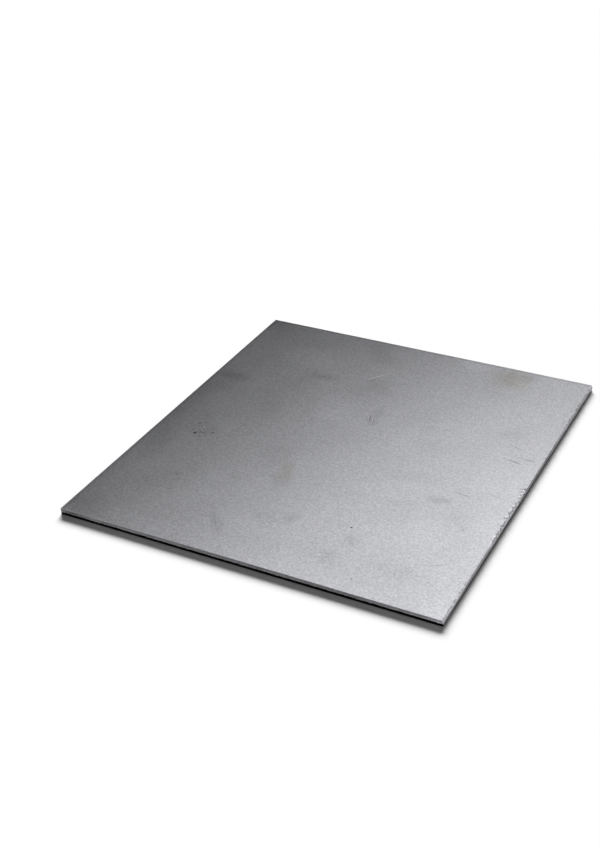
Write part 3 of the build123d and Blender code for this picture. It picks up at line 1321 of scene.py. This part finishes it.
def dark_cards(context, settings):
    """Dark cards that only the metal mirrors, to give its face a gradient."""
    material = bpy.data.materials.new("dark_card")
    material.use_nodes = True
    nodes = Nodes(material.node_tree)
    material.node_tree.nodes.clear()
    dark = nodes.add("ShaderNodeEmission", {"Color": WHITE, "Strength": settings.card})
    output = nodes.add("ShaderNodeOutputMaterial")
    nodes.feed(output.inputs["Surface"], dark.outputs["Emission"])
    for card in CARDS:
        bearings, heights = zip(*card.tops)
        bearing = np.linspace(bearings[0], bearings[-1], CARD_STEPS + 1)
        top = np.interp(bearing, bearings, heights)
        angle = np.radians(bearing)
        plan = np.stack([CARD_RADIUS * np.sin(angle), CARD_RADIUS * np.cos(angle)], 1)
        low = np.column_stack([plan, np.zeros_like(top)])
        high = np.column_stack([plan, top])
        count = CARD_STEPS + 1
        faces = [(i, i + 1, count + i + 1, count + i) for i in range(CARD_STEPS)]
        mesh = bpy.data.meshes.new(card.name)
        mesh.from_pydata(np.concatenate([low, high]).tolist(), [], faces)
        mesh.materials.append(material)
        thing = link_stage(context, card.name, mesh)
        thing.visible_camera = False
        thing.visible_diffuse = False
        thing.visible_shadow = False


def white_surround(context, settings):
    """A white surround for what the camera and the metal see, and a low fill for the floor."""
    world = bpy.data.worlds.new("white_surround")
    world.use_nodes = True
    context.scene.world = world
    nodes = Nodes(world.node_tree)
    world.node_tree.nodes.clear()
    path = nodes.add("ShaderNodeLightPath").outputs
    seen = nodes.math("MAXIMUM", path["Is Camera Ray"], path["Is Glossy Ray"])
    seen = nodes.math("MAXIMUM", seen, path["Is Transmission Ray"])
    levels = {"Value": seen, "To Min": settings.fill, "To Max": settings.surround}
    level = nodes.add("ShaderNodeMapRange", levels).outputs["Result"]
    light = nodes.add("ShaderNodeBackground", {"Color": WHITE, "Strength": level})
    output = nodes.add("ShaderNodeOutputWorld")
    nodes.feed(output.inputs["Surface"], light.outputs["Background"])


def key_lamps(context, settings):
    """A wide, low key of three lamps at the back left, which throws the sheet's shadow forward."""
    names = ("key_lamp_right", "key_lamp_middle", "key_lamp_left")
    distance = 2.0
    rise = math.sin(settings.key_elevation)
    flat = math.cos(settings.key_elevation)
    for place, name in enumerate(names):
        lamp = bpy.data.lights.new(name, "SUN")
        lamp.energy = settings.key / len(names)
        lamp.angle = settings.key_spread
        thing = link_stage(context, name, lamp)
        azimuth = settings.key_azimuth + (place - 1) * settings.key_fan
        towards = Vector((-math.sin(azimuth) * flat, math.cos(azimuth) * flat, rise))
        thing.location = distance * towards
        thing.rotation_mode = "QUATERNION"
        thing.rotation_quaternion = towards.to_track_quat("Z", "Y")
        thing.visible_glossy = False


def product_camera(context, settings):
    """The camera, from the front right and above."""
    lens = bpy.data.cameras.new("product_camera")
    lens.lens = settings.lens
    lens.clip_start = 0.01
    lens.clip_end = 100.0
    camera = link_stage(context, "product_camera", lens)
    flat = math.cos(settings.camera_elevation)
    back = Vector((
        math.sin(settings.camera_azimuth) * flat,
        -math.cos(settings.camera_azimuth) * flat,
        math.sin(settings.camera_elevation),
    ))
    camera.location = Vector(settings.camera_target) + settings.camera_distance * back
    camera.rotation_mode = "QUATERNION"
    roll = Quaternion((0.0, 0.0, 1.0), settings.camera_roll)
    camera.rotation_quaternion = (-back).to_track_quat("-Z", "Y") @ roll
    context.scene.camera = camera


class NICKELSHEET_OT_stage(Operator):
    """Set up the pale floor, the white surround, the dark cards, the key lamps and the camera"""

    bl_idname = "nickel_sheet.stage"
    bl_label = "Stage"
    bl_options = {"REGISTER", "UNDO"}

    def execute(self, context):
        settings = context.scene.nickel_stage
        context.scene.view_settings.view_transform = "Standard"
        studio_floor(context, settings)
        dark_cards(context, settings)
        white_surround(context, settings)
        key_lamps(context, settings)
        product_camera(context, settings)
        return {"FINISHED"}


class NICKELSHEET_PT_sidebar(Panel):
    """The sheet's pieces and settings in the 3D view's sidebar"""

    bl_idname = "NICKELSHEET_PT_sidebar"
    bl_label = "Nickel Sheet"
    bl_space_type = "VIEW_3D"
    bl_region_type = "UI"
    bl_category = "Nickel Sheet"

    def draw(self, context):
        for operator, settings in (
            (NICKELSHEET_OT_rolled_sheet, context.scene.nickel_sheet),
            (NICKELSHEET_OT_stage, context.scene.nickel_stage),
        ):
            box = self.layout.box()
            box.operator(operator.bl_idname)
            for name in settings.__annotations__:
                box.prop(settings, name)


CLASSES = (
    SheetSettings,
    StageSettings,
    NICKELSHEET_OT_rolled_sheet,
    NICKELSHEET_OT_stage,
    NICKELSHEET_PT_sidebar,
)


def register():
    """Adds the classes and their settings to Blender."""
    for item in CLASSES:
        bpy.utils.register_class(item)
    bpy.types.Scene.nickel_sheet = PointerProperty(type=SheetSettings)
    bpy.types.Scene.nickel_stage = PointerProperty(type=StageSettings)


def unregister():
    """Takes the classes and their settings out of Blender."""
    del bpy.types.Scene.nickel_stage
    del bpy.types.Scene.nickel_sheet
    for item in reversed(CLASSES):
        bpy.utils.unregister_class(item)


def main():
    """Builds the sheet and its stage."""
    register()
    bpy.ops.nickel_sheet.rolled_sheet()
    bpy.ops.nickel_sheet.stage()


if __name__ == "__main__":
    main()
